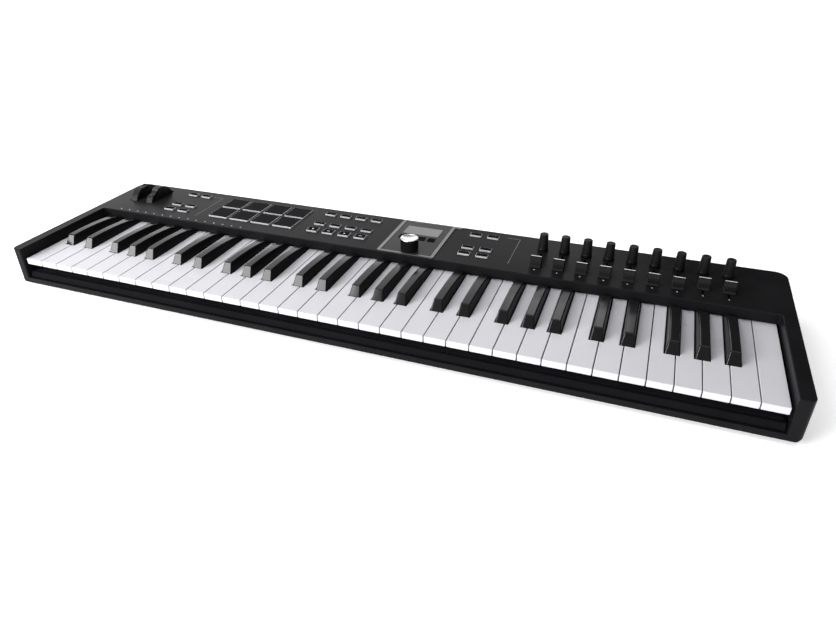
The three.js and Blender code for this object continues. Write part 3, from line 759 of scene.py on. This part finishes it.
def mat_piece(node, name, slot, materials, radius, edge, inset, marks=()):
    """A mat with its sheet under the panel, and each button with a dark cap set in its top.

    radius rounds a button's corners, edge its top edge, and inset is the rim left round the cap.
    """
    tops, high = top_rectangles(node)
    low, most = box_mm(node)
    sheet_top = low.z + SHEET
    bm = bmesh.new()
    prism(bm, rounded(low.x + 0.1, most.x - 0.1, low.y + 0.1, most.y - 0.1, 1),
          [(0, low.z), (0, sheet_top)], upright)
    for index, (x0, x1, y0, y1) in enumerate(tops):
        prism(bm, rounded(x0, x1, y0, y1, radius), edge_profile(sheet_top - 0.2, high, edge), upright)
        cap = rounded(x0 + inset, x1 - inset, y0 + inset, y1 - inset, max(0.3, radius - inset))
        prism(bm, cap, [(0, high - 0.3), (0, high + PROUD), (0.15, high + CAP_PROUD)], upright, 1)
        if index < len(marks):
            x, y = (x0 + x1) / 2, (y0 + y1) / 2
            half_x, half_y = marks[index]
            mark = rounded(x - half_x, x + half_x, y - half_y, y + half_y, min(half_x, half_y) - 0.02, 3)
            prism(bm, mark, [(0, high), (0, high + MARK_PROUD)], upright, 2)
    finish_piece(bm, name, node, materials, [node])


def mats():
    button = ("button_silicone", ["silicone", "cap"], 1.0, 0.35, 0.5)
    mat_piece("left_buttons", "left_button_mat", *button)
    mat_piece("right_buttons", "right_button_mat", *button)
    mat_piece("transport_buttons", "transport_button_mat", "button_silicone",
              ["silicone", "cap", "white_line"], 1.0, 0.35, 0.5, (DOT, BAR, DOT, BAR))
    mat_piece("pad_mat", "pad_rubber_mat", "pad_rubber", ["silicone", "pad"], 1.4, 0.45, 0.55)
    mat_piece("context_buttons", "context_button_mat", "cap_black", ["control", "cap"], 1.0, 0.4, 0.7)


# ---- Centre plate and screen ------------------------------------------------------------------------------

TAB_LENGTH = 9.0
DISPLAY_BORDER = 1.2


def centre_plate():
    """The plate with its raised rim, which runs on into a tab at the rear right."""
    bm = cad_copy("centre_panel")
    high = box_mm("centre_panel")[1]
    for face in bm.faces:
        at = face.calc_center_median()
        painted = face.normal.z > 0.9 and at.z < high.z - 0.2 and at.x < high.x - TAB_LENGTH
        face.material_index = 0 if painted else 1
    bevel(bm, lambda e: along(e, "z") and middle(e).z < high.z, 0.9, 4, 60)
    bevel(bm, lambda e: level(e, high.z), 0.18, 2)
    finish_piece(bm, "centre_plate", "case", ["plate", "rim"], ["centre_panel"])


def screen():
    """The screen's cover with the lit display set in it. The CAD screen also has a body under the panel."""
    low, high = box_mm("screen")
    bm = cad_copy("screen")
    tops = [f for f in bm.faces if f.normal.z > 0.99 and f.calc_center_median().z > high.z - 0.1]
    xs = [v.co.x for f in tops for v in f.verts]
    ys = [v.co.y for f in tops for v in f.verts]
    bm.free()
    x0, x1, y0, y1 = min(xs), max(xs), min(ys), max(ys)
    bm = bmesh.new()
    prism(bm, rounded(x0, x1, y0, y1, 0.8), edge_profile(low.z, high.z, 0.25, 3), upright)
    lit = rounded(x0 + DISPLAY_BORDER, x1 - DISPLAY_BORDER, y0 + DISPLAY_BORDER, y1 - DISPLAY_BORDER, 0.5)
    prism(bm, lit, [(0, high.z - 0.3), (0, high.z + PROUD)], upright, 1)
    finish_piece(bm, "screen_module", "case", ["screen_border", "display"], ["screen"])


# ---- Encoder, knobs, faders, wheels -----------------------------------------------------------------------

ENCODER_BORE_R, ENCODER_BORE_TOP = 3.5, 60.4
DISH_DEPTH, DISH_STEPS = 1.1, 8
GAP_UNDER = 0.5  # between the panel and the knobs and fader caps
KNOB_BORE_R, KNOB_TAPER = 3.0, 1.3
FADER_SKIRT = 1.6
WHEEL_LEANS = {"pitch_wheel": 2, "mod_wheel": 28}  # degrees that each finger notch leans towards the player
WHEEL_SPAN = 108  # degrees of rim on each side of the notch
HUB = 9.0
NOTCH_RADIUS, NOTCH_DEPTH = 9.0, 3.5
RIB_TURN, RIB_DEPTH = 4.5, 0.18  # degrees from rib to rib


def encoder():
    """A black side with a groove, and a turned metal top with a shallow dish."""
    low, high = box_mm("encoder_knob")
    x, y = middle_of(low, high)
    radius = (high.x - low.x) / 2
    z0, z1 = low.z, high.z
    side = [(0, ENCODER_BORE_TOP), (ENCODER_BORE_R, ENCODER_BORE_TOP), (ENCODER_BORE_R, z0),
            (radius - 0.7, z0), (radius, z0 + 0.5), (radius, z0 + 5.4), (radius - 0.25, z0 + 5.6),
            (radius - 0.25, z0 + 6.0),
            (radius, z0 + 6.2), (radius, z1 - 1.5), (radius - 0.12, z1 - 1.3), (radius - 0.3, z1 - 1.2)]
    dish, dish_top = radius - 1.9, z1 - 0.25
    top = [(radius - 0.3, z1 - 1.0), (radius - 0.1, z1 - 0.9), (radius - 0.25, z1 - 0.45),
           (radius - 0.6, z1 - 0.15), (radius - 1.1, z1), (radius - 1.6, z1 - 0.1), (dish, dish_top)]
    for s in range(1, DISH_STEPS + 1):
        out = 1 - s / DISH_STEPS
        top.append((dish * out, dish_top - DISH_DEPTH * (1 - out ** 2)))
    bm = bmesh.new()
    lathe(bm, side + top, x, y, 72, lambda i: int(i >= len(side)))
    finish_piece(bm, "encoder_dial", "encoder_knob", ["control", "encoder_metal"],
                 ["encoder_knob"])


def knobs():
    """Tall tapered knobs: a hard collar at the foot, a rubber grip above it, and a rounded tip."""
    for i, node in enumerate(KNOBS, 1):
        low, high = box_mm(node)
        x, y = middle_of(low, high)
        base = (high.x - low.x) / 2
        tip, tip_round = base - KNOB_TAPER, 0.9
        z0, z1 = PANEL_TOP + GAP_UNDER, high.z
        collar = [(0, low.z), (KNOB_BORE_R, low.z), (KNOB_BORE_R, z0), (base - 0.25, z0), (base, z0 + 0.3),
                  (base, z0 + 2.6), (base - 0.05, z0 + 2.9), (base - 0.2, z0 + 3.2)]
        waist, waist_z, steps = base - 0.45, z0 + 4.3, 6
        grip = [(base - 0.35, z0 + 3.6), (waist, waist_z)]
        for s in range(1, steps + 1):
            grip.append((waist - (waist - tip) * s / steps, waist_z + (z1 - tip_round - waist_z) * s / steps))
        grip += [(tip - tip_round * (1 - c), z1 - tip_round * (1 - s)) for c, s in quarter(4)[1:]]
        grip += [(tip - 1.4, z1 - 0.02), (tip - 1.8, z1 - 0.14), (0, z1 - 0.2)]
        bm = bmesh.new()
        lathe(bm, collar + grip, x, y, 48, lambda k: int(k >= len(collar)))
        finish_piece(bm, f"rotary_{i}", node, ["control", "grip"], [node])


def fader_outline(half, crest, z0, z1):
    """Side view of a cap, counter-clockwise: short skirt, hollow finger slopes, flat crest."""
    skirt_top, slope_top, steps = z0 + FADER_SKIRT, z1 - 0.7, 6
    right = [(half, z0), (half, skirt_top)]
    for s in range(1, steps + 1):
        t = s / steps
        right.append((half + (crest - half) * (1 - (1 - t) ** 1.5), skirt_top + (slope_top - skirt_top) * t))
    right += [(crest - 0.3, z1 - 0.2), (crest - 0.8, z1)]
    left = [(-u, v) for u, v in reversed(right)]
    return left[-1:] + right + left[:-1]


def faders():
    """Fader caps on their stems, each with a light line across its crest."""
    for i, node in enumerate(FADERS, 1):
        low, high = box_mm(node)
        x, y = middle_of(low, high)
        half_x, half_y = (high.x - low.x) / 2, (high.y - low.y) / 2
        z0 = PANEL_TOP + GAP_UNDER
        bm = bmesh.new()
        prism(bm, fader_outline(half_y, 2.0, z0, high.z), both_edges(-half_x, half_x, 0.7),
              lambda u, v, w: (x + w, y + u, v))
        stem = rounded(x - 0.8, x + 0.8, y - 4.6, y + 4.6, 0.3, 2)
        prism(bm, stem, [(0, low.z), (0, z0 + 0.5)], upright)
        line = rounded(x - half_x + 0.55, x + half_x - 0.55, y - 0.75, y + 0.65, 0.2, 2)
        prism(bm, line, [(0, high.z - 0.5), (0, high.z + 0.03), (0.1, high.z + 0.08)], upright, 1)
        finish_piece(bm, f"fader_cap_{i}", node, ["control", "white_line"], [node])


def wheel_outline(lean):
    """Side view (y, z) of a wheel, counter-clockwise: rim with its finger notch and ribs, then the hub."""
    reach = WHEEL_RADIUS + NOTCH_RADIUS - NOTCH_DEPTH  # from the wheel's centre to the notch's
    rim_steps, hub_steps = 216, 16
    polar = []
    for s in range(rim_steps + 1):
        angle = -WHEEL_SPAN + 2 * WHEEL_SPAN * s / rim_steps
        radius = WHEEL_RADIUS - RIB_DEPTH * (0.5 - 0.5 * math.cos(math.tau * angle / RIB_TURN))
        aside = reach * math.sin(math.radians(angle))
        if abs(aside) < NOTCH_RADIUS:
            notch = reach * math.cos(math.radians(angle)) - math.sqrt(NOTCH_RADIUS ** 2 - aside ** 2)
            radius = min(radius, notch)
        polar.append((angle, radius))
    for s in range(1, hub_steps):
        polar.append((WHEEL_SPAN + (360 - 2 * WHEEL_SPAN) * s / hub_steps, HUB))
    outline = []
    for angle, radius in polar:
        turn = math.radians(angle + lean)
        outline.append((WHEEL_CENTRE[0] - radius * math.sin(turn), WHEEL_CENTRE[1] + radius * math.cos(turn)))
    return outline


def wheels():
    for node, lean in WHEEL_LEANS.items():
        low, high = box_mm(node)
        bm = bmesh.new()
        prism(bm, wheel_outline(lean), both_edges(low.x, high.x, 0.9), sideways)
        finish_piece(bm, f"{node}_rim", node, ["grip"], [node])


# ---- Small fixed details ----------------------------------------------------------------------------------

SEPARATORS = ((-288, 38.6, 105.5, -307), (141.6, 40.6, 108.6, 125))  # x, front y, rear y, x of the short end
LINE_WIDTH = 0.55
DOTS, FIRST_DOT_X, DOT_PITCH, DOT_ROW_Y = 15, -400.4, 13.73, 27
FADER_DOT_Y = 35.5
BOARD_TOP = 14.0
SCREW_COLUMNS, SCREW_ROWS = (-300, -100, 100, 300), (-96, 100)
CROSS_ARM = ((0.42, -0.32), (1.6, -0.22), (1.6, 0.22))  # one arm of a recess: along it and across it


def printed_marks():
    """The printed dots and lines on the panel, a few hundredths of a millimetre proud."""
    bm = bmesh.new()
    z = PANEL_TOP

    def spot(x, y, radius):
        lathe(bm, [(0, z - 0.1), (radius, z - 0.1), (radius, z + 0.02), (radius - 0.05, z + 0.04),
                   (0, z + 0.04)], x, y, 16)

    def line(x0, y0, x1, y1):
        run = Vector((x1 - x0, y1 - y0))
        side = Vector((-run.y, run.x)).normalized() * LINE_WIDTH / 2
        corners = [(x0 + side.x, y0 + side.y), (x0 - side.x, y0 - side.y),
                   (x1 - side.x, y1 - side.y), (x1 + side.x, y1 + side.y)]
        prism(bm, corners, [(0, z - 0.1), (0, z + 0.03)], upright)

    for x, front, rear, end in SEPARATORS:
        line(x, front, x, rear)
        line(x, rear, end, rear)
    line_faces = len(bm.faces)
    for i in range(DOTS):
        spot(FIRST_DOT_X + DOT_PITCH * i, DOT_ROW_Y, 0.85)
    for node in FADERS:
        spot(middle_of(*box_mm(node))[0], FADER_DOT_Y, 0.8)
    bm.faces.ensure_lookup_table()
    for face in bm.faces[line_faces:]:
        face.material_index = 1
    finish_piece(bm, "panel_print", "case", ["print", "white_line"])


def sockets():
    """The connector board with its socket bodies, and the metal and contacts inside each socket."""
    bm = cad_copy("connector_board")
    back = box_mm("connector_board")[1].y
    bevel(bm, lambda e: middle(e).y > back - 0.1 and middle(e).z > BOARD_TOP, 0.3, 2)
    for face in bm.faces:
        at = face.calc_center_median()
        face.material_index = int(at.z > BOARD_TOP + 0.05 or at.y > back - 1)
    finish_piece(bm, "connector_module", "case", ["board", "base"], ["connector_board"])

    bm = bmesh.new()
    jack_nut = [(4.35, back + 0.1), (4.35, back + 2.5), (4.1, back + 2.75), (3.5, back + 2.75),
                (3.2, back + 2.45), (3.2, back + 0.1)]
    hoop(bm, jack_nut, on_back(*JACK))
    shell = [(6.8, back - 7.5), (6.8, back - 0.2), (6.6, back), (6.3, back), (6.15, back - 0.2),
             (6.15, back - 7.5)]
    hoop(bm, shell, on_back(*ROUND_SOCKET))
    prism(bm, disc(5.1), [(0, back - 7.5), (0, back - 1.4), (0.4, back - 1.0)], on_back(*ROUND_SOCKET), 1)
    contact = [(0.95, back - 1.5), (0.95, back - 0.9), (0.6, back - 0.9), (0.6, back - 1.5)]
    for k in range(5):
        turn = math.radians(45 * k)
        place = on_back(ROUND_SOCKET[0] - 3.3 * math.cos(turn), ROUND_SOCKET[1] - 3.3 * math.sin(turn) + 0.6)
        hoop(bm, contact, place, 12)
    prism(bm, rounded(-3, 3, -0.35, 0.4, 0.2, 2), [(0, back - 5.4), (0, back - 0.6)], on_back(*USB), 1)
    for k in range(4):
        u = 1.33 * k - 2
        prism(bm, rounded(u - 0.35, u + 0.35, -0.4, -0.25, 0.05, 1), [(0, back - 5), (0, back - 1)],
              on_back(*USB))
    finish_piece(bm, "socket_fittings", "case", ["steel", "chassis"])


def case_screws():
    """Pan-head screws with cross recesses in the bottom plate."""
    under = box_mm("lower_case")[0].z
    head = [(0, under - 1.1), (1.6, under - 1.05), (2.4, under - 0.8), (2.85, under - 0.35),
            (2.9, under - 0.05), (0, under - 0.05)]
    heads, crosses = bmesh.new(), bmesh.new()
    for x in SCREW_COLUMNS:
        for y in SCREW_ROWS:
            lathe(heads, head, x, y, 32)
            turn = math.radians(13 * (x + y) % 90)
            arms = []
            for k in range(4):
                angle = turn + math.tau * k / 4
                along_arm = Vector((math.cos(angle), math.sin(angle)))
                across = Vector((-math.sin(angle), math.cos(angle)))
                for out, side in CROSS_ARM:
                    arms.append(tuple(Vector((x, y)) + along_arm * out + across * side))
            prism(crosses, arms, [(0, under - 2), (0, under - 0.5)], upright)
    bm = subtract(heads, [crosses], "screw_heads")
    finish_piece(bm, "case_screws", "case", ["steel"])


def plain(node, key):
    """A CAD node that keeps its shape and takes a better material."""
    materials = NODES[node].data.materials
    materials.clear()
    materials.append(material(key))


def plain_parts():
    plain("key_contact_board", "board")
    plain("panel_board", "board")
    plain("wheel_bracket", "chassis")
    plain("encoder_shaft", "steel")


# ---- Stage ------------------------------------------------------------------------------------------------


def stage():
    mesh = bpy.data.meshes.new("floor")
    bm = bmesh.new()
    bmesh.ops.create_grid(bm, x_segments=2, y_segments=2, size=1.2)
    bm.to_mesh(mesh)
    bm.free()
    floor = bpy.data.objects.new("floor", mesh)
    floor.location.z = -0.3 * MM
    bpy.context.scene.collection.objects.link(floor)
    shade = Shade("floor_paint")
    paint = shade.mix(shade.spread(shade.noise(1.5, 2), 0, 1), (0.94, 0.94, 0.94), (0.955, 0.955, 0.955))
    shade.set(Base_Color=paint, Roughness=0.9, Specular_IOR_Level=0.1)
    shade.set(Emission_Color=(1, 1, 1), Emission_Strength=0.3)
    floor.data.materials.append(shade.material)
    backdrop()


def backdrop():
    """A studio sweep: white below and at eye level, nearly dark above, where the soft boxes hang."""
    world = bpy.data.worlds.new("world")
    bpy.context.scene.world = world
    world.use_nodes = True
    nodes, links = world.node_tree.nodes, world.node_tree.links
    split = nodes.new("ShaderNodeSeparateXYZ")
    links.new(nodes.new("ShaderNodeTexCoord").outputs["Generated"], split.inputs["Vector"])
    fade = nodes.new("ShaderNodeMapRange")
    for key, value in (("From Min", 0.02), ("From Max", 0.12), ("To Min", 1.15), ("To Max", 0.025)):
        fade.inputs[key].default_value = value
    links.new(split.outputs["Z"], fade.inputs["Value"])
    links.new(fade.outputs["Result"], nodes["Background"].inputs["Strength"])
    nodes["Background"].inputs["Color"].default_value = (1, 1, 1, 1)


def soft_box(name, place, target, width, height, power):
    """A white area light. Places and sizes are in metres, power in watts."""
    data = bpy.data.lights.new(name, "AREA")
    data.shape = "RECTANGLE"
    data.size = width
    data.size_y = height
    data.energy = power
    lamp = bpy.data.objects.new(name, data)
    bpy.context.scene.collection.objects.link(lamp)
    lamp.location = place
    lamp.rotation_mode = "QUATERNION"
    lamp.rotation_quaternion = (Vector(target) - Vector(place)).to_track_quat("-Z", "Y")


def lights():
    soft_box("low_back_left_softbox", (-1.766, 2.26, 0.58), (0, 0, 0), 2.4, 0.68, 9)
    soft_box("back_left_softbox", (-1.375, 2.25, 1.45), (0, 0, 0), 3.7, 1.2, 18.5)
    soft_box("back_softbox", (0.05, 2.33, 1.4), (0.05, 0, 0.05), 0.7, 0.5, 1.5)
    soft_box("front_left_softbox", (-1.5, -1.7, 0.9), (-0.2, 0, 0.03), 1.3, 0.8, 80)
    soft_box("left_top_softbox", (-1.2, 0.3, 1.5), (-1.2, 0.3001, 0), 1.6, 1.6, 20)
    soft_box("front_softbox", (0.2, -2.2, 0.35), (0.2, 0, 0.03), 3.0, 0.5, 32)
    soft_box("top_softbox", (0, 0, 2.8), (0, 0, 0), 5.0, 3.6, 70)
    bpy.context.scene.view_settings.view_transform = "Standard"


# ---- Build ------------------------------------------------------------------------------------------------

make_camera()
stage()
lights()
case_shell()
base_plate()
feet()
keybed()
keys()
mats()
centre_plate()
screen()
encoder()
knobs()
faders()
wheels()
printed_marks()
sockets()
case_screws()
plain_parts()
